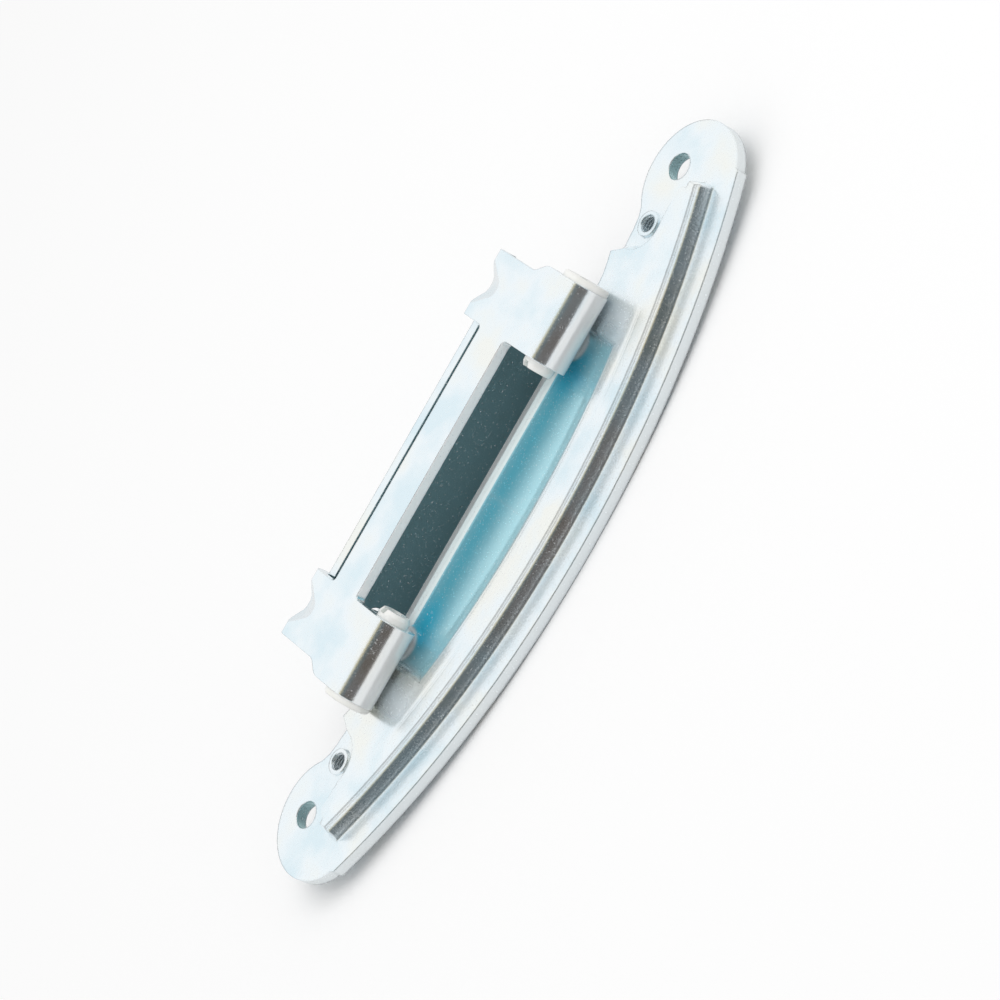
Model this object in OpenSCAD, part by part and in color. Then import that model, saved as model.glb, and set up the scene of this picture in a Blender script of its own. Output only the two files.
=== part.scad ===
// Door hinge of a front-loading washing machine: a crescent-shaped mounting
// plate with two ears, and a bracket whose two rolled knuckles turn on short pins.
// X runs across the plate, Y along the hinge pins, Z away from the plate's back.
// The origin is midway between the two fixing holes, on the plate's back face.

/* [Mounting plate] */
// Length of the plate from tip to tip
plate_length = 192.4; // [180:0.1:210]
// Distance from the line of the fixing holes to the middle of the curved edge
plate_reach = 36.9; // [34:0.1:42]
// Radius of the long curved edge
plate_arc_r = 225; // [215:1:260]
// Thickness of the plate's sheet
plate_t = 3; // [2:0.1:3.5]
// Radius of the round ends
end_r = 14.4; // [13.5:0.1:15]
// Distance from the line of the fixing holes to the centre of the round ends
end_offset = 5.3; // [4:0.1:6.5]
// Width cut away beyond each round end, where the long edge stops
shoulder_setback = 7.2; // [6:0.1:9]
// Place of the straight edge beside the hinge pins
back_edge_x = 0.3; // [-1:0.1:1]
// Place of the edge at the narrow neck beside each threaded hole
neck_x = -3; // [-4.5:0.1:-2.4]

/* [Plate holes] */
// Diameter of the fixing holes
fixing_hole_d = 6.5; // [4:0.1:8]
// Distance between the fixing holes
fixing_hole_pitch = 166.6; // [160:0.1:172]
// Diameter of the threaded holes
thread_hole_d = 4.2; // [3:0.1:5]
// Distance between the threaded holes
thread_hole_pitch = 138; // [134:0.1:142]
// Distance from the line of the fixing holes to the threaded holes
thread_hole_x = 1.5; // [0:0.1:3]
// Height of the drawn collar round a threaded hole
collar_h = 0.9; // [0.5:0.1:1.5]
// Width of the drawn collar round a threaded hole
collar_w = 1; // [0.6:0.1:1.4]

/* [Raised field] */
// Height of the raised field above the flat margin
field_h = 3.5; // [2:0.1:4]
// Width of the flat margin along the curved edge
margin_w = 6; // [4:0.1:8]
// Width of the sloping wall of the raised field
slope_w = 2; // [1.5:0.1:4]
// Height of the rib above the raised field
rib_h = 0.7; // [0.3:0.1:1.2]
// Width of the rib
rib_w = 7; // [5:0.1:9]
// Depth of the pocket in the raised field
pocket_depth = 1.5; // [1:0.1:2.2]
// Length of the pocket at the level of the raised field
pocket_length = 89; // [86:0.5:94]
// Width of the low lip along the pocket's straight edge
lip_w = 1; // [0.6:0.1:2]
// Height of the low lip above the pocket's floor
lip_h = 0.9; // [0.4:0.1:1]

/* [Hinge line] */
// Place of the pins across the plate
axis_x = 4.8; // [4:0.1:6]
// Height of the pins above the plate's back
axis_z = 12.8; // [12.7:0.1:16]
// Distance from a knuckle's inner end to the middle of its ear
ear_inset = 5.4; // [5:0.1:7]
// Thickness of the ears
ear_t = 2.5; // [2:0.1:3]
// Radius of the round pad at the foot of each ear
pad_r = 5.4; // [4.8:0.1:6.5]
// Diameter of the hinge pins
pin_d = 4; // [3:0.1:4.2]
// Length of the hinge pins
pin_length = 18; // [14:0.1:18.4]
// Angle through which the door opens
open_angle = 100; // [80:1:102]

/* [Bracket] */
// Thickness of the bracket's sheet
bracket_t = 2.5; // [2:0.1:2.6]
// Outer radius of the rolled knuckles
knuckle_r = 5.8; // [5.7:0.1:6]
// Length of each knuckle
knuckle_length = 19.2; // [17:0.1:22]
// Distance between the knuckles
window_length = 66; // [65:0.1:67]
// Distance from the pins to the outer face of the mounting wall
wall_reach = 28.6; // [26:0.1:34]
// Distance from the pins down to the foot of the mounting wall
wall_drop = 22.9; // [18:0.1:28]
// Outer radius of the bend between tabs and wall
bend_r = 4; // [3.2:0.1:5]
// Width by which the mounting wall is shorter than the tabs at each end
wall_setback = 2.2; // [1.5:0.1:5]
// Width by which each tab is narrower than its knuckle
tab_step = 2.6; // [1:0.1:4]
// Width of the strip that ties the tabs
tie_w = 9.9; // [7:0.1:12]
// Distance from the pins to the near edge of the tie strip
tie_gap = 8.3; // [7.5:0.1:9.5]
// Height of the wall's upper edge above the pins, between the tabs
wall_top = 0.4; // [-2:0.1:1.4]
// Diameter of the holes in the mounting wall
wall_hole_d = 5.2; // [4:0.1:6]
// Distance between the holes in the mounting wall
wall_hole_pitch = 76; // [72:1:80]
// Place of the bracket along its pins, within its play
bracket_slide = -1.9; // [-2.2:0.1:2.2]

/* [Bushes] */
// Thickness of the outer bushes' flanges
flange_t = 1.5; // [1:0.1:2]
// Diameter of the outer bushes' flanges
flange_d = 11; // [9:0.1:11.4]
// Diameter of the inner bushes' snap ends
snap_d = 7.5; // [7:0.1:8.5]
// Length of the snap ends beyond the knuckle
snap_l = 2.3; // [1.5:0.1:3]
// Width of the split across a snap end
split_w = 1.4; // [0.8:0.1:2]

/* [Clearances] */
// Radial running clearance between pin and bush
run_clear = 0.03; // [0.02:0.01:0.08]
// Gap between the ears and what turns round them
ear_clear = 0.2; // [0.15:0.05:0.4]
// Play of the bracket along its pins, to each side
slide_play = 2.4; // [2.3:0.1:2.6]

/* [Hidden] */
$fn = 64;

zinc = [0.87, 0.92, 0.94];
bright_steel = [0.78, 0.80, 0.82];
white_plastic = [0.96, 0.96, 0.94];

// Outline of the plate
arc_centre_x = plate_reach - plate_arc_r;
end_centre_y = plate_length / 2 - end_r;
shoulder_y = plate_length / 2 - shoulder_setback;
end_back_x = end_offset - end_r;
neck_y = thread_hole_pitch / 2 - 4;
neck_length = 13;

// Raised field
field_top = plate_t + field_h;
field_end_y = end_centre_y + 1.6;
hole_ground_r = thread_hole_d / 2 + 2.2;
hole_bulge = 0.5;
ground_slope_w = 3.4;
hole_ground_slope = 27;
nose_r = 5.6;
nose_x = thread_hole_x + hole_ground_r + nose_r - 0.3;
nose_y = field_end_y - nose_r - 0.3;
inner_r = plate_arc_r - plate_reach - 20;
flank_top_d = margin_w + slope_w + rib_w / 2 + 1;
flank_w = 8;
pocket_bend = 3.4;
lip_slope = 1.2;
pad_slope = 2.2;
wall_inset = 1.2;
bend_steps = 5;

// Ears
knuckle_in_y = window_length / 2;
ear_y = knuckle_in_y + ear_inset;
eye_r = knuckle_r - bracket_t - ear_clear;
arm_x = axis_x - knuckle_r - 0.5 - 2 * eye_r;
foot_top = min(field_top - 0.1, axis_z - knuckle_r - 2 * ear_clear);
arm_low = eye_r - 1.1;
foot_low = foot_top - 0.8 * plate_t;
foot_r = 1.2;
pad_x = axis_x - 1.6;
ear_slot_w = ear_t + 2 * slide_play;

// Bracket
knuckle_bore_r = knuckle_r - bracket_t;
top_z = axis_z + knuckle_r;
wall_x = axis_x - wall_reach;
foot_z = axis_z - wall_drop;
knuckle_out_y = knuckle_in_y + knuckle_length;
tab_out_y = knuckle_out_y - tab_step;
tie_right_x = axis_x - tie_gap;
tie_left_x = tie_right_x - tie_w;
step_start_x = axis_x - 12;
step_end_x = axis_x - 7;
corner_r = 1.2;
seam_w = 0.4;
gusset_tab_l = 9;
gusset_wall_l = 4.6;
gusset_keel_w = 1.6;
gusset_half_angle = 58;
wall_hole_z = axis_z - 15;

// Bushes
bush_bore_r = pin_d / 2 + run_clear;
slot_in_y = ear_y - ear_slot_w / 2;
slot_out_y = ear_y + ear_slot_w / 2;

// Smooth step from 0 at a to 1 at b
function blend(a, b, v) = let (q = min(1, max(0, (v - a) / (b - a)))) q * q * (3 - 2 * q);

// Points of a soft double bend from [x0, z0] to [x1, z1]
function soft_bend(x0, z0, x1, z1) =
    [for (i = [0 : bend_steps]) [x0 + (x1 - x0) * i / bend_steps, z0 + (z1 - z0) * blend(0, bend_steps, i)]];

// Points of the edge behind the hinge line, from its straight middle past the neck to a round end
function back_edge() =
    concat([for (i = [0 : bend_steps]) [back_edge_x + (neck_x - back_edge_x) * blend(0, bend_steps, i),
                                        neck_y - neck_length + neck_length * i / bend_steps]],
           [for (i = [0 : bend_steps]) [neck_x + (end_back_x - neck_x) * blend(0, bend_steps, i),
                                        neck_y + 1 + (end_centre_y - neck_y - 1) * i / bend_steps]]);

module plate_outline() {
    half = concat([[back_edge_x, 0]],
                  back_edge(),
                  [[end_offset, end_centre_y], [end_offset, shoulder_y], [plate_reach + 5, shoulder_y]]);
    intersection() {
        translate([arc_centre_x, 0])
            circle(plate_arc_r, $fn = 720);
        polygon(concat(half, [for (i = [len(half) - 1 : -1 : 1]) [half[i][0], -half[i][1]]]));
    }
    for (side = [-1, 1])
        translate([end_offset, side * end_centre_y])
            circle(end_r);
}

// Turn a profile of radius and height round the centre of the curved edge
module round_the_arc() {
    translate([arc_centre_x, 0, 0])
        rotate_extrude($fn = 720)
            children();
}

// Draw a profile of Y and Z straight along X
module along_x(x_from, x_to) {
    translate([x_from, 0, 0])
        rotate([90, 0, 90])
            linear_extrude(x_to - x_from)
                children();
}

// Draw a profile of X and Z straight along Y
module along_y(y_from, y_to) {
    translate([0, y_to, 0])
        rotate([90, 0, 0])
            linear_extrude(y_to - y_from)
                children();
}

// Profile of the low ground beside the raised field, with its ramp at the distance reach
module ground_profile(reach, drop, back) {
    base = plate_t - drop;
    top = field_top + rib_h + 0.1 - drop;
    polygon(concat([[back, top + 2], [back, base]],
                   soft_bend(reach, base, reach + ground_slope_w, top),
                   [[reach + ground_slope_w, top + 2]]));
}

// Ground beyond the round nose in which the raised field ends
module nose_ground(inset, drop) {
    base = plate_t - drop;
    top = field_top + rib_h + 0.1 - drop;
    foot = nose_r - inset;
    difference() {
        translate([nose_x - nose_r - 4, nose_y, base])
            cube([nose_r + 4, nose_r + 4, top + 1 - base]);
        translate([nose_x, nose_y, 0])
            rotate_extrude()
                polygon(concat([[0, base - 1], [foot, base - 1]],
                               soft_bend(foot, base, foot - ground_slope_w, top),
                               [[foot - ground_slope_w, top + 2], [0, top + 2]]));
    }
}

// Low ground round the holes at one end, which the raised field leaves free
module hole_ground(inset, drop) {
    nose_ground(inset, drop);
    translate([thread_hole_x, thread_hole_pitch / 2, 0]) {
        rotate_extrude()
            ground_profile(hole_ground_r + hole_bulge + inset, drop, 0);
        along_y(-1.5, 30)
            ground_profile(hole_ground_r + inset, drop, -30);
        rotate([0, 0, hole_ground_slope - 90])
            along_y(-30, 1.5)
                ground_profile(hole_ground_r + inset, drop, -30);
    }
}

// The raised field: an inset and a drop turn its upper face into its lower one
module field_form(inset, drop) {
    base = plate_t - drop;
    top = field_top - drop;
    foot_r = plate_arc_r - margin_w - inset;
    crest_r = foot_r - slope_w;
    end_y = field_end_y - inset;
    rib_top = top + rib_h;
    difference() {
        intersection() {
            round_the_arc()
                polygon(concat([[inner_r, base - 2]],
                               [[inner_r, top]],
                               soft_bend(crest_r - rib_w, top, crest_r - rib_w / 2, rib_top),
                               soft_bend(crest_r, rib_top, foot_r, base),
                               [[foot_r, base - 2]]));
            along_x(end_back_x - 5, plate_reach)
                polygon(concat([[-end_y, base - 2]],
                               soft_bend(-end_y, base, -end_y + slope_w, rib_top + 0.1),
                               soft_bend(end_y - slope_w, rib_top + 0.1, end_y, base),
                               [[end_y, base - 2]]));
        }
        for (turn = [0, 1])
            mirror([0, turn, 0])
                hole_ground(inset, drop);
    }
}

// What the pocket takes out of the raised field, with the pads of the ears left standing
module pocket_form(inset, drop) {
    floor_z = field_top - pocket_depth - drop;
    top = field_top + rib_h + 0.3 - drop;
    half = pocket_length / 2 + inset;
    flank_r = plate_arc_r - flank_top_d + inset;
    lip_x = back_edge_x + lip_w - inset;
    difference() {
        intersection() {
            round_the_arc()
                polygon(concat([[inner_r, top + 2], [inner_r, floor_z]],
                               soft_bend(flank_r - flank_w, floor_z, flank_r, top),
                               [[flank_r, top + 2]]));
            along_x(end_back_x, plate_reach)
                polygon(concat([[-half, top + 2]],
                               soft_bend(-half, top, -half + pocket_bend, floor_z),
                               soft_bend(half - pocket_bend, floor_z, half, top),
                               [[half, top + 2]]));
            along_y(-half - 1, half + 1)
                polygon(concat([[end_back_x, top + 2], [end_back_x, floor_z + lip_h]],
                               soft_bend(lip_x, floor_z + lip_h, lip_x + lip_slope, floor_z),
                               [[plate_reach, floor_z], [plate_reach, top + 2]]));
        }
        for (side = [-1, 1])
            translate([pad_x, side * ear_y, 0])
                rotate_extrude()
                    polygon(concat([[0, floor_z - 1], [0, foot_top - drop]],
                                   soft_bend(pad_r - pad_slope - inset, foot_top - drop, pad_r - inset, floor_z),
                                   [[pad_r - inset, floor_z - 1]]));
    }
}

// The pressing as a sheet of even thickness
module pressed_sheet() {
    difference() {
        union() {
            linear_extrude(plate_t)
                plate_outline();
            intersection() {
                field_form(0, 0);
                linear_extrude(field_top + rib_h + 1)
                    plate_outline();
            }
        }
        difference() {
            field_form(wall_inset, plate_t);
            pocket_form(wall_inset, plate_t);
        }
        pocket_form(0, 0);
    }
}

// Lay an XZ outline in the plane of the ears, spread evenly about the station y
module across(y, width) {
    translate([0, y + width / 2, 0])
        rotate([90, 0, 0])
            linear_extrude(width)
                children();
}

// An ear stands on the plate, reaches up outside the knuckle and back over to the pin
module ear_outline() {
    difference() {
        union() {
            translate([axis_x, axis_z])
                circle(eye_r);
            translate([arm_x + eye_r, axis_z - arm_low])
                square([axis_x - arm_x - eye_r, arm_low + eye_r]);
            translate([arm_x + eye_r, axis_z])
                circle(eye_r);
            translate([arm_x, foot_low + foot_r])
                square([2 * eye_r, axis_z - foot_low - foot_r]);
            translate([arm_x + foot_r, foot_low])
                square([pad_x + pad_r - pad_slope - arm_x - foot_r, foot_top - foot_low]);
            translate([arm_x + foot_r, foot_low + foot_r])
                circle(foot_r);
        }
        translate([axis_x, axis_z])
            circle(pin_d / 2);
    }
}

module plate_hole(x, y, d) {
    translate([x, y, -1])
        cylinder(h = field_top + 4, d = d);
}

module mounting_plate() {
    color(zinc)
        difference() {
            union() {
                pressed_sheet();
                for (side = [-1, 1]) {
                    across(side * ear_y, ear_t)
                        ear_outline();
                    translate([thread_hole_x, side * thread_hole_pitch / 2, plate_t / 2])
                        cylinder(h = plate_t / 2 + collar_h, r = thread_hole_d / 2 + collar_w);
                }
            }
            for (side = [-1, 1]) {
                plate_hole(0, side * fixing_hole_pitch / 2, fixing_hole_d);
                plate_hole(thread_hole_x, side * thread_hole_pitch / 2, thread_hole_d);
            }
        }
}

// The bracket's section: wall, bend, flat and the sheet rolled round to the flat again
module bracket_section() {
    translate([wall_x, foot_z])
        square([bracket_t, top_z - bend_r - foot_z]);
    translate([wall_x + bend_r, top_z - bend_r])
        difference() {
            circle(bend_r);
            circle(bend_r - bracket_t);
            translate([0, -bend_r - 1])
                square(2 * bend_r + 2);
            translate([-bend_r - 1, -2 * bend_r - 2])
                square(2 * bend_r + 2);
        }
    translate([wall_x + bend_r, top_z - bracket_t])
        square([wall_reach - bend_r, bracket_t]);
    translate([axis_x, axis_z])
        difference() {
            circle(knuckle_r);
            circle(knuckle_bore_r);
            translate([-knuckle_r - 1, knuckle_bore_r - seam_w])
                square([knuckle_r + 1, seam_w]);
        }
}

// The half of the bracket's plan on one side of its middle
function step_y(x) = tab_out_y + tab_step * blend(step_start_x, step_end_x, x);
module bracket_plan() {
    edge = concat([[wall_x - 1, tab_out_y]],
        [for (x = [step_start_x : 1 : step_end_x]) [x, step_y(x)]],
        [[axis_x + knuckle_r + 1, knuckle_out_y]]);
    polygon(concat(edge, [for (i = [len(edge) - 1 : -1 : 0]) [edge[i][0], -edge[i][1]]]));
}

// An oblong opening with rounded corners
module rounded_opening(x_from, x_to, half_length, r) {
    translate([x_from, -half_length + r])
        square([x_to - x_from, 2 * (half_length - r)]);
    translate([x_from + r, -half_length])
        square([x_to - x_from - 2 * r, 2 * half_length]);
    for (x = [x_from + r, x_to - r])
        for (y = [-half_length + r, half_length - r])
            translate([x, y])
                circle(r);
}

// Where an ear sweeps through a knuckle while the bracket turns
module ear_sweep() {
    reach = 2 * knuckle_r;
    upper = knuckle_bore_r - seam_w / 2;
    lower = arm_low + 1.5 * ear_clear;
    last = 180 + open_angle;
    translate([axis_x, axis_z])
        polygon(concat([[0, upper], [-reach, upper]],
                       [for (a = [190 : (last - 190) / 6 : last]) reach * [cos(a), sin(a)]],
                       [reach * [cos(last), sin(last)] + lower * [cos(last + 90), sin(last + 90)],
                        lower * [cos(last + 90), sin(last + 90)]]));
}

// Wedge pressed into the bend from outside, its keel running from tab to wall
module gusset_wedge(inset) {
    slope = atan2(gusset_wall_l, gusset_tab_l);
    length = norm([gusset_tab_l, gusset_wall_l]) + 30;
    height = 12;
    half = height * tan(gusset_half_angle);
    translate([wall_x + gusset_tab_l, 0, top_z])
        rotate([0, -slope, 0])
            translate([-length + 15, 0, -inset])
                rotate([90, 0, 90])
                    linear_extrude(length)
                        polygon([[-gusset_keel_w / 2, 0], [gusset_keel_w / 2, 0],
                                 [gusset_keel_w * 1.2, gusset_keel_w / 5], [half, height],
                                 [-half, height], [-gusset_keel_w * 1.2, gusset_keel_w / 5]]);
}

module gusset_backing(y) {
    intersection() {
        translate([0, y, 0])
            gusset_wedge(bracket_t * 1.15);
        across(y, tab_out_y - knuckle_in_y - 2)
            union() {
                translate([wall_x + bend_r, top_z - bend_r])
                    circle(bend_r);
                translate([wall_x, top_z - 14])
                    square([14, 14 - bend_r]);
                translate([wall_x + bend_r, top_z - 14])
                    square([14 - bend_r, 14]);
            }
    }
}

module bracket() {
    gusset_y = (knuckle_in_y + tab_out_y) / 2;
    color(zinc)
        translate([0, bracket_slide, 0])
            difference() {
                union() {
                    intersection() {
                        across(0, 2 * knuckle_out_y)
                            bracket_section();
                        translate([0, 0, foot_z - 1])
                            linear_extrude(top_z - foot_z + 2)
                                bracket_plan();
                    }
                    for (side = [-1, 1])
                        gusset_backing(side * gusset_y);
                }
                for (side = [-1, 1]) {
                    translate([0, side * gusset_y, 0])
                        gusset_wedge(0);
                    across(side * ear_y, ear_slot_w)
                        ear_sweep();
                    translate([wall_x - 1, side * wall_hole_pitch / 2, wall_hole_z])
                        rotate([0, 90, 0])
                            cylinder(h = bracket_t + 2, d = wall_hole_d);
                }
                for (side = [-1, 1])
                    translate([wall_x - 1, side * (tab_out_y + 5 - wall_setback) - 5, foot_z - 1])
                        cube([bracket_t + 2, 10, top_z - bend_r - foot_z]);
                translate([0, 0, axis_z - knuckle_r - 1])
                    linear_extrude(2 * knuckle_r + 2)
                        rounded_opening(tie_right_x, axis_x + knuckle_r + 6, knuckle_in_y, corner_r);
                translate([0, 0, axis_z + wall_top])
                    linear_extrude(knuckle_r + 2)
                        rounded_opening(wall_x - 5, tie_left_x, knuckle_in_y, corner_r);
            }
}

// Turned parts lie along Y: side is 1 for the upper knuckle and -1 for the lower
module along_axis(side, y) {
    translate([axis_x, side * y, axis_z])
        rotate([side * -90, 0, 0])
            children();
}

module hinge_pin(side) {
    chamfer = 0.4;
    color(bright_steel)
        along_axis(side, ear_y + 3.8 - pin_length / 2)
            rotate_extrude()
                polygon([[0, 0], [pin_d / 2 - chamfer, 0], [pin_d / 2, chamfer],
                         [pin_d / 2, pin_length - chamfer], [pin_d / 2 - chamfer, pin_length],
                         [0, pin_length]]);
}

module outer_bush(side) {
    length = knuckle_out_y - slot_out_y;
    color(white_plastic)
        translate([0, bracket_slide, 0])
            along_axis(side, slot_out_y)
                rotate_extrude()
                    polygon([[bush_bore_r, 0], [knuckle_bore_r, 0], [knuckle_bore_r, length],
                             [flange_d / 2, length], [flange_d / 2, length + flange_t - 0.3],
                             [flange_d / 2 - 0.3, length + flange_t], [bush_bore_r, length + flange_t]]);
}

module inner_bush(side) {
    length = slot_in_y - knuckle_in_y;
    color(white_plastic)
        translate([0, bracket_slide, 0])
            along_axis(side, knuckle_in_y - snap_l)
                difference() {
                    rotate_extrude()
                        polygon([[bush_bore_r, 0], [snap_d / 2 - 0.5, 0], [snap_d / 2, 1],
                                 [snap_d / 2, snap_l], [knuckle_bore_r, snap_l],
                                 [knuckle_bore_r, snap_l + length], [bush_bore_r, snap_l + length]]);
                    translate([-split_w / 2, -snap_d, -1])
                        cube([split_w, 2 * snap_d, snap_l]);
                }
}

module hinge_pin_upper() {
    hinge_pin(1);
}

module hinge_pin_lower() {
    hinge_pin(-1);
}

module outer_bush_upper() {
    outer_bush(1);
}

module outer_bush_lower() {
    outer_bush(-1);
}

module inner_bush_upper() {
    inner_bush(1);
}

module inner_bush_lower() {
    inner_bush(-1);
}

mounting_plate();
bracket();
hinge_pin_upper();
hinge_pin_lower();
outer_bush_upper();
outer_bush_lower();
inner_bush_upper();
inner_bush_lower();
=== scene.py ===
"""Looks of a zinc-plated washing machine door hinge: a crescent mounting plate and a bracket on two short pins.

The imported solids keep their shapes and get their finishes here. Small details that belong to the look alone,
such as the threads in the tapped holes, are separate pieces. Lengths in the classes are in millimetres,
in the part's own frame: X across the plate, Y along the pins, Z out of the plate's front.
"""

import enum
import logging
import math
from dataclasses import dataclass

import bmesh
import bpy
from mathutils import Matrix, Vector


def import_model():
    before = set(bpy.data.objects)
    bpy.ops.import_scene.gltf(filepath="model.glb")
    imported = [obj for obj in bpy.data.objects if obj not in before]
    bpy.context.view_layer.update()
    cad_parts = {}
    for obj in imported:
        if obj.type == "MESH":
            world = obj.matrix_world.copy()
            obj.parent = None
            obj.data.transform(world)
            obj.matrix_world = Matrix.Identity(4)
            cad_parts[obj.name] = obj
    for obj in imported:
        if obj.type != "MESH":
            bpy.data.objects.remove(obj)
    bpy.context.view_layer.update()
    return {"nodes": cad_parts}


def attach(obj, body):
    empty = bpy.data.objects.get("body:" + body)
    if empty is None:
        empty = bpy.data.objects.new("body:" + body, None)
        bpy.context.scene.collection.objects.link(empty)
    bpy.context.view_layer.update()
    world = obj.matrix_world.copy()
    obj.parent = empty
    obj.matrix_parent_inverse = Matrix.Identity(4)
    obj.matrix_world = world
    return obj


logging.basicConfig(level=logging.INFO, format="%(message)s")
log = logging.getLogger("hinge")

MM = 0.001
Point = tuple[float, float, float]


class Side(enum.Enum):
    """Which half of the hinge a piece belongs to, as a sign along Y."""

    UPPER = 1
    LOWER = -1


def linear(colour: str) -> tuple[float, float, float, float]:
    """Turn an sRGB hex colour into linear values.

    Args:
        colour: Six hex digits, such as "e6f0f3".

    Returns:
        Red, green, blue and alpha, linear, from 0 to 1.
    """
    values = [int(colour[i : i + 2], 16) / 255 for i in (0, 2, 4)]
    lin = [v / 12.92 if v <= 0.04045 else ((v + 0.055) / 1.055) ** 2.4 for v in values]
    return lin[0], lin[1], lin[2], 1.0


def add_node(tree: bpy.types.NodeTree, kind: str, settings: dict | None = None, **links: object) -> bpy.types.Node:
    """Add a node with its settings and links.

    Args:
        tree: The tree that the node goes into.
        kind: The node's type, such as "ShaderNodeTexNoise".
        settings: Attributes of the node, or values of its inputs by name or number.
        links: Inputs by name, with underscores for spaces, or as in0, in1; each takes an output socket.

    Returns:
        The new node.
    """
    node = tree.nodes.new(kind)
    for key, value in (settings or {}).items():
        if isinstance(key, int) or key in node.inputs:
            node.inputs[key].default_value = value
        else:
            setattr(node, key, value)
    for key, output in links.items():
        number = key[2:] if key.startswith("in") and key[2:].isdigit() else ""
        target = node.inputs[int(number)] if number else node.inputs[key.replace("_", " ")]
        tree.links.new(output, target)
    return node


def new_material(name: str) -> tuple[bpy.types.Material, bpy.types.NodeTree]:
    """Make an empty material with nodes.

    Args:
        name: The finish's name.

    Returns:
        The material and its node tree.
    """
    material = bpy.data.materials.new(name)
    material.use_nodes = True
    material.node_tree.nodes.clear()
    return material, material.node_tree


def set_ramp(node: bpy.types.Node, stops: list[tuple[float, str]]) -> bpy.types.Node:
    """Set the stops of a colour ramp.

    Args:
        node: The ramp node.
        stops: Places from 0 to 1 with sRGB hex colours.

    Returns:
        The same node.
    """
    ramp = node.color_ramp
    while len(ramp.elements) < len(stops):
        ramp.elements.new(0.5)
    for element, (place, colour) in zip(ramp.elements, stops):
        element.position = place
        element.color = linear(colour)
    return node


@dataclass(frozen=True)
class FilmAndPaintedLight:
    """A soft-edged box where the sheet's colour and mirror change, for a tint of the finish itself and for painted
    light.

    The part hangs and tumbles in the bath, so liquid stays in hollows and dries to a stronger blue. Most boxes are
    painted light: painted shade and reflection in hollows and on the inside of the bracket's wall, and painted
    highlights.
    """

    low: Point
    high: Point
    soft: Point
    colour: str
    amount: float = 1.0
    facing: Point | None = None
    milky: float = 0.0

    def lay(self, tree: bpy.types.NodeTree, place: object, colour: object, metal: object) -> tuple[object, object]:
        """Lay the box's colour over the colour below.

        Args:
            tree: The material's tree.
            place: Output socket with the place in the part's frame, in metres, its Y without its sign.
            colour: Output socket with the colour below.
            metal: Output socket with how much of the surface below is bare mirror.

        Returns:
            Output sockets with the colour and the bare mirror's share above.
        """
        masks = []
        for bound, start, end in ((self.low, 0.0, 1.0), (self.high, 1.0, 0.0)):
            near = tuple((b - s) * MM for b, s in zip(bound, self.soft))
            far = tuple((b + s) * MM for b, s in zip(bound, self.soft))
            masks.append(
                add_node(
                    tree,
                    "ShaderNodeMapRange",
                    {
                        "data_type": "FLOAT_VECTOR",
                        "interpolation_type": "SMOOTHSTEP",
                        7: near,
                        8: far,
                        9: (start,) * 3,
                        10: (end,) * 3,
                    },
                    in6=place,
                ).outputs[1]
            )
        both = add_node(tree, "ShaderNodeVectorMath", {"operation": "MULTIPLY"}, in0=masks[0], in1=masks[1])
        parts = add_node(tree, "ShaderNodeSeparateXYZ", None, in0=both.outputs[0])
        mask = add_node(
            tree, "ShaderNodeMath", {"operation": "MULTIPLY"}, in0=parts.outputs[0], in1=parts.outputs[1]
        ).outputs[0]
        mask = add_node(tree, "ShaderNodeMath", {"operation": "MULTIPLY"}, in0=mask, in1=parts.outputs[2]).outputs[0]
        if self.facing:
            normal = add_node(tree, "ShaderNodeTexCoord").outputs["Normal"]
            turned = add_node(
                tree, "ShaderNodeVectorMath", {"operation": "DOT_PRODUCT", 1: self.facing}, in0=normal
            ).outputs["Value"]
            towards = add_node(tree, "ShaderNodeMapRange", {1: 0.35, 2: 0.75}, in0=turned).outputs[0]
            mask = add_node(tree, "ShaderNodeMath", {"operation": "MULTIPLY"}, in0=mask, in1=towards).outputs[0]
        share = add_node(tree, "ShaderNodeMath", {"operation": "MULTIPLY", 1: self.amount}, in0=mask).outputs[0]
        above = add_node(
            tree, "ShaderNodeMix", {"data_type": "RGBA", 7: linear(self.colour)}, in0=share, in6=colour
        ).outputs[2]
        bare = add_node(tree, "ShaderNodeMix", {3: 1.0 - self.milky}, in0=share, in2=metal).outputs[0]
        return above, bare


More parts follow.
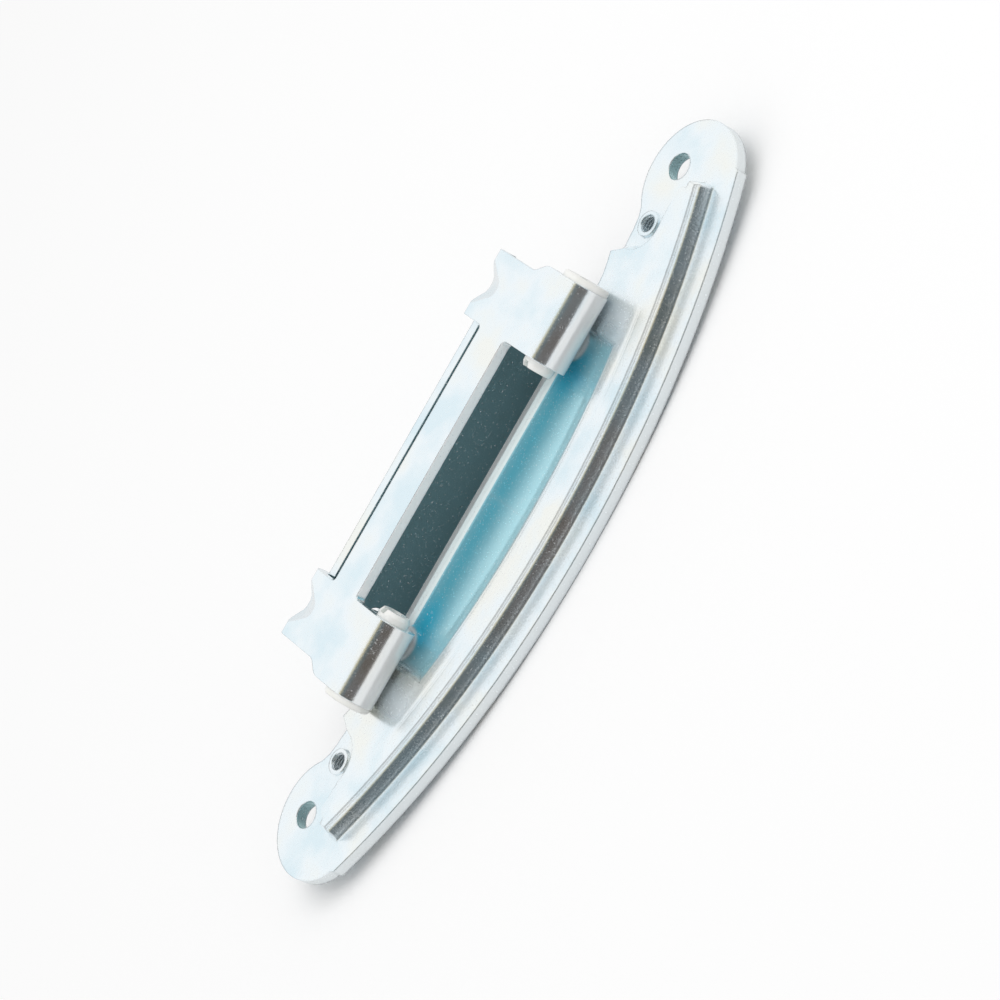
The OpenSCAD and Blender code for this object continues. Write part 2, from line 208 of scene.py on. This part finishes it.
@dataclass(frozen=True)
class ZincPlate:
    """Cold-rolled steel sheet, pressed, then barrel plated with bright zinc and blue passivated.

    The eye gets a close, slightly blue mirror that is broken up by the sheet's grain, by pits and short
    scratches from the drum, and by soft rounded bends.
    """

    name: str
    # Boxes laid over the sheet: tints of the finish and painted light.
    films_and_painted_light: tuple[FilmAndPaintedLight, ...] = ()
    body: str = "eef6fa"
    cool: str = "dfeff6"
    warm: str = "f3f5f1"
    roughness: float = 0.17
    cloud_mm: float = 16.0
    # The sheet's own grain is about 0.05 mm. It is drawn at 0.4 mm, the finest that shows at this distance.
    grain_mm: float = 0.4
    grain_height_mm: float = 0.007
    grain_strength: float = 0.4
    # Specks of dust and torn zinc are under 0.1 mm wide, and are drawn at about 0.3 mm so that they show.
    speck_mm: float = 0.42
    scratch_width_mm: float = 0.3
    scratch_length_mm: float = 5.0
    scratch_turns: tuple[Point, ...] = ((0.2, 0.1, 0.45), (-0.6, 0.4, -0.8))
    scuff_colour: str = "f4f8f8"
    bare: float = 0.88
    bend_mm: float = 0.6
    # Heights of the pressed flanks' foot and crest, and how much they are eased at the foot and at the crest.
    flank_mm: tuple[float, float] | None = None
    flank_ease: tuple[float, float] = (0.09, 0.48)
    # Faint ring that a screw head or the press pad leaves round a fixing hole: centre, radius and width.
    ring_at_mm: tuple[float, float] | None = None
    ring_r_mm: float = 6.0
    ring_w_mm: float = 0.4

    def rings(self, tree: bpy.types.NodeTree, place: object) -> object:
        """Make the height of the witness rings round the two fixing holes.

        Args:
            tree: The material's tree.
            place: Output socket with the place in the part's frame, in metres.

        Returns:
            Output socket, 1 on the ring and 0 elsewhere.
        """
        folded = add_node(tree, "ShaderNodeVectorMath", {"operation": "ABSOLUTE"}, in0=place).outputs[0]
        flat = add_node(
            tree, "ShaderNodeVectorMath", {"operation": "MULTIPLY", 1: (1.0, 1.0, 0.0)}, in0=folded
        ).outputs[0]
        centre = (self.ring_at_mm[0] * MM, self.ring_at_mm[1] * MM, 0.0)
        away = add_node(
            tree, "ShaderNodeVectorMath", {"operation": "DISTANCE", 1: centre}, in0=flat
        ).outputs["Value"]
        off = add_node(tree, "ShaderNodeMath", {"operation": "SUBTRACT", 1: self.ring_r_mm * MM}, in0=away).outputs[0]
        near = add_node(tree, "ShaderNodeMath", {"operation": "ABSOLUTE"}, in0=off).outputs[0]
        return add_node(
            tree,
            "ShaderNodeMapRange",
            {"interpolation_type": "SMOOTHSTEP", 1: 0.0, 2: self.ring_w_mm * MM, 3: 1.0, 4: 0.0},
            in0=near,
        ).outputs[0]

    def drawn(self, tree: bpy.types.NodeTree, height: object) -> object:
        """Ease the pressed slopes into soft S-shaped flanks, as the press leaves them.

        The flanks turn from the crest's direction to the foot's over their whole height, so the solid's flat
        flank is lifted towards a rounder one. Flat stretches keep their direction.

        Args:
            tree: The material's tree.
            height: Output socket with Z in metres.

        Returns:
            Output socket with the lift in metres.
        """
        foot, crest = self.flank_mm
        deep = (crest - foot) * MM
        down = add_node(tree, "ShaderNodeMapRange", {1: crest * MM, 2: foot * MM, 3: 1.0, 4: 0.0}, in0=height)
        cube = add_node(tree, "ShaderNodeMath", {"operation": "POWER", 1: 3.0}, in0=down.outputs[0])
        curved = add_node(
            tree, "ShaderNodeMath", {"operation": "MULTIPLY", 1: -self.flank_ease[1] * deep}, in0=cube.outputs[0]
        )
        return add_node(
            tree,
            "ShaderNodeMath",
            {"operation": "MULTIPLY_ADD", 1: -self.flank_ease[0] * deep},
            in0=down.outputs[0],
            in2=curved.outputs[0],
        ).outputs[0]

    def build(self) -> bpy.types.Material:
        """Make the material.

        Returns:
            The material.
        """
        material, tree = new_material(self.name)
        place = add_node(tree, "ShaderNodeTexCoord").outputs["Object"]
        split = add_node(tree, "ShaderNodeSeparateXYZ", None, in0=place)
        half = add_node(tree, "ShaderNodeMath", {"operation": "ABSOLUTE"}, in0=split.outputs[1])
        folded = add_node(
            tree, "ShaderNodeCombineXYZ", None, in0=split.outputs[0], in1=half.outputs[0], in2=split.outputs[2]
        ).outputs[0]
        cloud = add_node(tree, "ShaderNodeTexNoise", {"Scale": 1 / (self.cloud_mm * MM), "Detail": 4.0}, Vector=place)
        grain = add_node(tree, "ShaderNodeTexNoise", {"Scale": 1 / (self.grain_mm * MM), "Detail": 3.0}, Vector=place)
        tint = set_ramp(
            add_node(tree, "ShaderNodeValToRGB", None, Fac=cloud.outputs["Fac"]),
            [(0.38, self.cool), (0.52, self.body), (0.68, self.warm)],
        )
        colour = tint.outputs["Color"]
        metal = add_node(tree, "ShaderNodeMapRange", {1: 0.3, 2: 0.7, 3: self.bare - 0.05, 4: self.bare + 0.05},
                         in0=cloud.outputs["Fac"]).outputs[0]
        # Tints of the finish and painted light, box by box, over the sheet's colour.
        for overlay in self.films_and_painted_light:
            colour, metal = overlay.lay(tree, folded, colour, metal)
        polish = add_node(
            tree,
            "ShaderNodeMapRange",
            {1: 0.3, 2: 0.7, 3: self.roughness - 0.04, 4: self.roughness + 0.08},
            in0=grain.outputs["Fac"],
        )
        dust = add_node(
            tree, "ShaderNodeTexNoise", {"Scale": 1 / (self.speck_mm * MM), "Detail": 0.0}, Vector=place
        ).outputs["Fac"]
        speck = add_node(tree, "ShaderNodeMapRange", {1: 0.75, 2: 0.81, 3: 0.0, 4: 0.6}, in0=dust).outputs[0]
        scuff = speck
        for turn in self.scratch_turns:
            along = add_node(
                tree,
                "ShaderNodeMapping",
                {
                    "vector_type": "TEXTURE",
                    "Rotation": turn,
                    "Scale": (1.0, self.scratch_length_mm / self.scratch_width_mm, 1.0),
                },
                Vector=place,
            ).outputs[0]
            lines = add_node(
                tree, "ShaderNodeTexNoise", {"Scale": 1 / (self.scratch_width_mm * MM), "Detail": 1.0}, Vector=along
            ).outputs["Fac"]
            scratch = add_node(tree, "ShaderNodeMapRange", {1: 0.71, 2: 0.78, 3: 0.0, 4: 0.45}, in0=lines).outputs[0]
            scuff = add_node(tree, "ShaderNodeMath", {"operation": "MAXIMUM"}, in0=scuff, in1=scratch).outputs[0]
        colour = add_node(
            tree, "ShaderNodeMix", {"data_type": "RGBA", 7: linear(self.scuff_colour)}, in0=scuff, in6=colour
        ).outputs[2]
        metal = add_node(tree, "ShaderNodeMix", {3: 0.35}, in0=scuff, in2=metal).outputs[0]
        rounded = add_node(tree, "ShaderNodeBevel", {"samples": 8, "Radius": self.bend_mm * MM}).outputs["Normal"]
        if self.flank_mm:
            rounded = add_node(
                tree,
                "ShaderNodeBump",
                {"Strength": 1.0, "Distance": 1.0},
                Height=self.drawn(tree, split.outputs[2]),
                Normal=rounded,
            ).outputs["Normal"]
        normal = add_node(
            tree,
            "ShaderNodeBump",
            {"Strength": self.grain_strength, "Distance": self.grain_height_mm * MM},
            Height=grain.outputs["Fac"],
            Normal=rounded,
        ).outputs["Normal"]
        if self.ring_at_mm:
            normal = add_node(
                tree,
                "ShaderNodeBump",
                {"Strength": 0.4, "Distance": 0.08 * MM},
                Height=self.rings(tree, place),
                Normal=normal,
            ).outputs["Normal"]
        surface = add_node(
            tree,
            "ShaderNodeBsdfPrincipled",
            None,
            Base_Color=colour,
            Metallic=metal,
            Roughness=polish.outputs["Result"],
            Normal=normal,
        )
        add_node(tree, "ShaderNodeOutputMaterial", None, Surface=surface.outputs["BSDF"])
        return material


@dataclass(frozen=True)
class GroundSteel:
    """Bright drawn steel wire, ground round: a close grey mirror with faint rings from the grinding."""

    name: str = "steel_wire_ground"
    colour: str = "c9ccce"
    roughness: float = 0.22
    ring_mm: float = 0.35

    def build(self) -> bpy.types.Material:
        """Make the material.

        Returns:
            The material.
        """
        material, tree = new_material(self.name)
        place = add_node(tree, "ShaderNodeTexCoord").outputs["Object"]
        rings = add_node(
            tree,
            "ShaderNodeTexWave",
            {"bands_direction": "Y", "Scale": 0.314 / (self.ring_mm * MM), "Distortion": 2.0},
            Vector=place,
        )
        bump = add_node(
            tree, "ShaderNodeBump", {"Strength": 0.15, "Distance": 0.01 * MM}, Height=rings.outputs["Fac"]
        )
        surface = add_node(
            tree,
            "ShaderNodeBsdfPrincipled",
            {"Base Color": linear(self.colour), "Metallic": 1.0, "Roughness": self.roughness},
            Normal=bump.outputs["Normal"],
        )
        add_node(tree, "ShaderNodeOutputMaterial", None, Surface=surface.outputs["BSDF"])
        return material


@dataclass(frozen=True)
class Acetal:
    """Natural acetal, injection moulded: a clean white with a satin skin that light enters a little way."""

    name: str = "acetal_natural_moulded"
    colour: str = "fbfbf8"
    shade: str = "f4f4ef"
    roughness: float = 0.34
    flow_mm: float = 3.0

    def build(self) -> bpy.types.Material:
        """Make the material.

        Returns:
            The material.
        """
        material, tree = new_material(self.name)
        place = add_node(tree, "ShaderNodeTexCoord").outputs["Object"]
        flow = add_node(tree, "ShaderNodeTexNoise", {"Scale": 1 / (self.flow_mm * MM), "Detail": 2.0}, Vector=place)
        tint = set_ramp(
            add_node(tree, "ShaderNodeValToRGB", None, Fac=flow.outputs["Fac"]),
            [(0.3, self.shade), (0.6, self.colour)],
        )
        rounded = add_node(tree, "ShaderNodeBevel", {"samples": 6, "Radius": 0.25 * MM}).outputs["Normal"]
        skin = add_node(
            tree,
            "ShaderNodeBump",
            {"Strength": 0.1, "Distance": 0.02 * MM},
            Height=flow.outputs["Fac"],
            Normal=rounded,
        )
        surface = add_node(
            tree,
            "ShaderNodeBsdfPrincipled",
            {
                "Roughness": self.roughness,
                "Subsurface Weight": 0.1,
                "Subsurface Scale": 0.5 * MM,
                "Subsurface Radius": (1.0, 0.98, 0.95),
                "IOR": 1.48,
            },
            Base_Color=tint.outputs["Color"],
            Normal=skin.outputs["Normal"],
        )
        add_node(tree, "ShaderNodeOutputMaterial", None, Surface=surface.outputs["BSDF"])
        return material


def dress(node: bpy.types.Object, material: bpy.types.Material) -> None:
    """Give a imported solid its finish.

    Args:
        node: The solid's object.
        material: The finish.
    """
    node.data.materials.clear()
    node.data.materials.append(material)
    log.info("%s: %s, %d faces", node.name, material.name, len(node.data.polygons))


def piece_from(mesh: bmesh.types.BMesh, name: str, material: bpy.types.Material) -> bpy.types.Object:
    """Turn mesh code into a smooth-shaded piece of the scene.

    Args:
        mesh: The finished mesh, which is freed.
        name: The piece's name.
        material: Its finish.

    Returns:
        The piece.
    """
    bmesh.ops.recalc_face_normals(mesh, faces=mesh.faces)
    data = bpy.data.meshes.new(name)
    mesh.to_mesh(data)
    mesh.free()
    data.polygons.foreach_set("use_smooth", [True] * len(data.polygons))
    data.materials.append(material)
    piece = bpy.data.objects.new(name, data)
    bpy.context.scene.collection.objects.link(piece)
    return piece


@dataclass
class MountingPlate:
    """The crescent plate with its two pins and the threads in its tapped holes."""

    body: str = "plate_leaf"
    sheet: str = "mounting_plate"
    pins: tuple[str, str] = ("hinge_pin_upper", "hinge_pin_lower")
    fixing_at: tuple[float, float] = (0.0, 83.3)
    thread_at: tuple[float, float] = (1.5, 69.0)
    thread_root_r: float = 2.14
    thread_crest_r: float = 1.84
    thread_pitch: float = 0.8
    thread_low: float = 0.45
    thread_high: float = 3.45
    thread_steps: int = 36

    def finish(self) -> ZincPlate:
        """Describe the plate's zinc, with painted light: reflection and shade in the pocket, highlights on the lip,
        the ears' feet and beside the knuckles.
        """
        return ZincPlate(
            "steel_sheet_bright_zinc_blue_passivated",
            films_and_painted_light=(
                # Painted reflection and shade: the pocket between the knuckles is painted blue, partly the passivate
                # pooled there and partly the bracket's underside mirrored in it. The darker cyan towards the lip and
                # the pocket's ends is painted shade.
                FilmAndPaintedLight((1.8, -1.0, 3.6), (19.0, 42.0, 5.9), (1.2, 1.6, 0.4), "a9e3ef", 0.85, milky=0.5),
                FilmAndPaintedLight((1.8, -1.0, 3.6), (9.5, 38.5, 5.7), (5.0, 3.0, 0.4), "50bcd4", 0.9, milky=0.6),
                FilmAndPaintedLight((1.8, 27.0, 3.6), (9.0, 38.5, 5.7), (4.0, 4.0, 0.4), "23b0d2", 0.8, milky=0.8),
                # Painted light: the field beside the knuckles is made milky and pale, so that it does not mirror the
                # knuckles' dark side or show their shade.
                FilmAndPaintedLight((2.0, 46.0, 5.0), (17.0, 53.0, 7.6), (4.0, 4.0, 0.3), "eef6fa", 0.8, milky=0.45),
                # Painted highlights: the sheared lip at the back and the ears' feet are painted a milky white.
                FilmAndPaintedLight((-0.5, -1.0, 5.2), (2.3, 46.0, 6.4), (0.3, 1.0, 0.1), "eefbfb", 1.0, milky=0.95),
                FilmAndPaintedLight((-3.0, 31.0, 5.9), (9.4, 42.0, 7.6), (0.5, 0.6, 0.3), "fbfdfe", 0.9, milky=0.85),
                # The walls of the fixing holes are coloured a darker, greyer teal.
                FilmAndPaintedLight((-3.5, 79.6, 0.2), (3.5, 87.0, 2.8), (0.1, 0.1, 0.1), "a4cdd0", 0.8, milky=0.3),
                # The cut face of the curved edge scatters too.
                FilmAndPaintedLight((10.0, -1.0, -1.0), (38.0, 97.0, 2.75), (0.5, 1.0, 0.1), "eff5f7", 0.9, (1.0, 0.0, 0.0), 0.6),
            ),
            roughness=0.2,
            bend_mm=0.9,
            flank_mm=(3.0, 7.2),
            ring_at_mm=self.fixing_at,
        )

    def thread(self, side: Side, material: bpy.types.Material) -> bpy.types.Object:
        """Cut the thread of a tapped hole as one spiral ridge.

        Args:
            side: Which hole.
            material: The plate's finish.

        Returns:
            The thread.
        """
        mesh = bmesh.new()
        turns = (self.thread_high - self.thread_low) / self.thread_pitch
        count = int(turns * self.thread_steps)
        half = self.thread_pitch * 0.42
        profile = [
            (self.thread_root_r, -half),
            (self.thread_crest_r, -0.07),
            (self.thread_crest_r, 0.07),
            (self.thread_root_r, half),
        ]
        x0, y0 = self.thread_at[0], side.value * self.thread_at[1]
        rows = []
        for i in range(count + 1):
            angle = 2 * math.pi * i / self.thread_steps
            z = self.thread_low + self.thread_pitch * i / self.thread_steps
            rows.append(
                [
                    mesh.verts.new(
                        (
                            (x0 + r * math.cos(angle)) * MM,
                            (y0 + r * math.sin(angle)) * MM,
                            (z + dz) * MM,
                        )
                    )
                    for r, dz in profile
                ]
            )
        for row, after in zip(rows, rows[1:]):
            for k in range(4):
                mesh.faces.new((row[k], row[(k + 1) % 4], after[(k + 1) % 4], after[k]))
        mesh.faces.new(rows[0])
        mesh.faces.new(list(reversed(rows[-1])))
        piece = piece_from(mesh, f"thread_{side.name.lower()}", material)
        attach(piece, self.body)
        log.info("%s: spiral ridge, %.1f turns", piece.name, turns)
        return piece

    def build(self, nodes: dict[str, bpy.types.Object]) -> None:
        """Dress the plate and its pins, and add the threads.

        Args:
            nodes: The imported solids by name.
        """
        zinc = self.finish().build()
        dress(nodes[self.sheet], zinc)
        steel = GroundSteel().build()
        for name in self.pins:
            dress(nodes[name], steel)
        for side in Side:
            self.thread(side, zinc)


@dataclass
class Bracket:
    """The bracket with its rolled knuckles and the four bushes pressed into them."""

    body: str = "bracket_leaf"
    sheet: str = "bracket"
    bushes: tuple[str, ...] = ("outer_bush_upper", "outer_bush_lower", "inner_bush_upper", "inner_bush_lower")

    def finish(self) -> ZincPlate:
        """Describe the bracket's zinc, with painted shade on the inside of its wall and painted highlights on the
        strip's cut face and the knuckles' far side.
        """
        return ZincPlate(
            "steel_sheet_bright_zinc_blue_passivated_rolled",
            films_and_painted_light=(
                # Painted shade: the inside of the wall is painted a dark grey-blue.
                FilmAndPaintedLight((-30.0, -1.0, -14.0), (-16.0, 80.0, 15.0), (0.5, 1.0, 1.0), "71939a", 1.0, (1.0, 0.0, 0.0)),
                # Painted highlight: the cut face of the strip between the tabs is painted white.
                FilmAndPaintedLight((-4.4, -1.0, 15.9), (-2.6, 34.0, 19.0), (0.4, 0.5, 0.2), "ffffff", 1.0, (1.0, 0.0, 0.0), 0.9),
                # Painted highlight: the knuckles' far side is painted a milky white.
                FilmAndPaintedLight((7.0, 25.0, 6.0), (12.0, 60.0, 15.0), (0.6, 1.0, 1.0), "fafdfe", 0.95, (0.97, 0.0, -0.26), 0.75),
            ),
            grain_strength=0.8,
        )

    def build(self, nodes: dict[str, bpy.types.Object]) -> None:
        """Dress the bracket and its bushes.

        Args:
            nodes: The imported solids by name.
        """
        dress(nodes[self.sheet], self.finish().build())
        acetal = Acetal().build()
        for name in self.bushes:
            dress(nodes[name], acetal)


@dataclass
class Card:
    """A curved card beside the table, which only the metal's mirror sees."""

    name: str
    azimuth: tuple[float, float]
    elevation: tuple[float, float]
    colour: str
    radius_mm: float = 1400.0
    steps: int = 12

    def build(self) -> bpy.types.Object:
        """Bend the card round the object and set it up.

        Returns:
            The card.
        """
        mesh = bmesh.new()
        ends = [self.radius_mm * math.tan(math.radians(angle)) for angle in self.elevation]
        rows = []
        for i in range(self.steps + 1):
            angle = math.radians(self.azimuth[0] + (self.azimuth[1] - self.azimuth[0]) * i / self.steps)
            x, z = self.radius_mm * math.sin(angle), self.radius_mm * math.cos(angle)
            rows.append([mesh.verts.new((x * MM, y * MM, z * MM)) for y in ends])
        for row, after in zip(rows, rows[1:]):
            mesh.faces.new((row[0], row[1], after[1], after[0]))
        material, tree = new_material(f"{self.name}_board")
        glow = add_node(tree, "ShaderNodeEmission", {"Color": linear(self.colour), "Strength": 1.0})
        add_node(tree, "ShaderNodeOutputMaterial", None, Surface=glow.outputs[0])
        card = piece_from(mesh, self.name, material)
        card.visible_camera = card.visible_diffuse = card.visible_shadow = card.visible_transmission = False
        log.info("%s: azimuth %.0f to %.0f", self.name, *self.azimuth)
        return card


@dataclass
class Studio:
    """White table, soft light, dark and warm cards, and the camera of the photograph."""

    azimuth: float = 51.956
    elevation: float = 4.81
    roll: float = 29.922
    distance_mm: float = 1000.0
    focal_px: float = 4497.2
    picture_px: float = 1000.0
    centre_mm: tuple[float, float] = (-0.207, -0.553)
    edge_foot_mm: tuple[float, float] = (36.9, 0.0)
    wall_foot_mm: tuple[float, float] = (-23.8, -10.1)
    cards: tuple[Card, ...] = (
        Card("dark_card", (13.0, 76.0), (-50.0, 40.0), "3f4c50"),
        Card("brown_card", (30.0, 76.0), (-16.0, 10.0), "4a403b", 1380.0),
        Card("warm_card", (5.0, 13.0), (-50.0, 40.0), "c4b993"),
    )

    def camera(self) -> bpy.types.Object:
        """Place the camera.

        Returns:
            The camera.
        """
        az, el, roll = (math.radians(v) for v in (self.azimuth, self.elevation, self.roll))
        back = Vector((math.sin(az) * math.cos(el), math.sin(el), math.cos(az) * math.cos(el)))
        right = Vector((0, 1, 0)).cross(back).normalized()
        up = back.cross(right)
        turned_right = right * math.cos(roll) + up * math.sin(roll)
        turned_up = up * math.cos(roll) - right * math.sin(roll)
        target = turned_right * self.centre_mm[0] + turned_up * self.centre_mm[1]
        where = (target + back * self.distance_mm) * MM
        data = bpy.data.cameras.new("camera")
        data.sensor_width = 36.0
        data.lens = 36.0 * self.focal_px / self.picture_px
        data.clip_start, data.clip_end = 0.05, 20.0
        camera = bpy.data.objects.new("camera", data)
        axes = Matrix((turned_right, turned_up, back)).transposed().to_4x4()
        camera.matrix_world = Matrix.Translation(where) @ axes
        bpy.context.scene.collection.objects.link(camera)
        bpy.context.scene.camera = camera
        return camera

    def table(self) -> bpy.types.Object:
        """Lay the white table under the curved edge and the wall's foot.

        Returns:
            The table.
        """
        dx = self.edge_foot_mm[0] - self.wall_foot_mm[0]
        dz = self.edge_foot_mm[1] - self.wall_foot_mm[1]
        tilt = math.atan2(dz, dx)
        mesh = bpy.data.meshes.new("table")
        half = 3.0
        corners = [(-half, -half, 0), (half, -half, 0), (half, half, 0), (-half, half, 0)]
        mesh.from_pydata(corners, [], [(0, 1, 2, 3)])
        table = bpy.data.objects.new("table", mesh)
        foot = Vector((self.wall_foot_mm[0], 0, self.wall_foot_mm[1])) * MM
        normal = Vector((-math.sin(tilt), 0, math.cos(tilt)))
        table.matrix_world = Matrix.Translation(foot - normal * 0.1 * MM) @ Matrix.Rotation(-tilt, 4, "Y")
        bpy.context.scene.collection.objects.link(table)
        material, tree = new_material("white_paper")
        path = add_node(tree, "ShaderNodeLightPath")
        seen = add_node(
            tree,
            "ShaderNodeMix",
            {"data_type": "RGBA", 6: linear("f0f0f0"), 7: (1.0, 1.0, 1.0, 1.0)},
            in0=path.outputs["Is Camera Ray"],
        )
        paper = add_node(tree, "ShaderNodeBsdfDiffuse", None, Color=seen.outputs[2])
        add_node(tree, "ShaderNodeOutputMaterial", None, Surface=paper.outputs["BSDF"])
        mesh.materials.append(material)
        return table

    def world(self) -> None:
        """Surround the object with soft white light, white where it is seen or mirrored."""
        world = bpy.data.worlds.new("studio")
        bpy.context.scene.world = world
        world.use_nodes = True
        tree = world.node_tree
        tree.nodes.clear()
        path = add_node(tree, "ShaderNodeLightPath")
        seen = add_node(
            tree,
            "ShaderNodeMath",
            {"operation": "MAXIMUM"},
            in0=path.outputs["Is Camera Ray"],
            in1=path.outputs["Is Glossy Ray"],
        )
        shown = add_node(
            tree,
            "ShaderNodeMath",
            {"operation": "MAXIMUM"},
            in0=seen.outputs[0],
            in1=path.outputs["Is Transmission Ray"],
        )
        soft = add_node(tree, "ShaderNodeBackground", {"Color": (1, 1, 1, 1), "Strength": 0.76})
        white = add_node(tree, "ShaderNodeBackground", {"Color": (1, 1, 1, 1), "Strength": 1.0})
        mix = add_node(
            tree, "ShaderNodeMixShader", None, in0=shown.outputs[0], in1=soft.outputs[0], in2=white.outputs[0]
        )
        add_node(tree, "ShaderNodeOutputWorld", None, Surface=mix.outputs[0])

    def lamp(self, name: str, azimuth: float, elevation: float, size_mm: float, power: float) -> bpy.types.Object:
        """Hang a soft square lamp that faces the hinge.

        Args:
            name: The lamp's name.
            azimuth: Degrees from +Z towards +X.
            elevation: Degrees towards +Y.
            size_mm: The lamp's side.
            power: Watts.

        Returns:
            The lamp.
        """
        az, el = math.radians(azimuth), math.radians(elevation)
        way = Vector((math.sin(az) * math.cos(el), math.sin(el), math.cos(az) * math.cos(el)))
        data = bpy.data.lights.new(name, "AREA")
        data.size = size_mm * MM
        data.energy = power
        lamp = bpy.data.objects.new(name, data)
        lamp.visible_glossy = False
        lamp.matrix_world = Matrix.Translation(way * 1.2) @ way.to_track_quat("Z", "Y").to_matrix().to_4x4()
        bpy.context.scene.collection.objects.link(lamp)
        return lamp

    def build(self) -> None:
        """Set up the table, the light, the cards and the camera."""
        self.table()
        self.world()
        self.lamp("key_lamp", -6, 14, 1200, 4.5)
        for card in self.cards:
            card.build()
        self.camera()
        bpy.context.scene.view_settings.view_transform = "Standard"
        log.info("studio ready")


def main() -> None:
    """Dress the hinge and set up the studio."""
    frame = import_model()
    nodes = frame["nodes"]
    MountingPlate().build(nodes)
    Bracket().build(nodes)
    Studio().build()


if __name__ == "__main__":
    main()
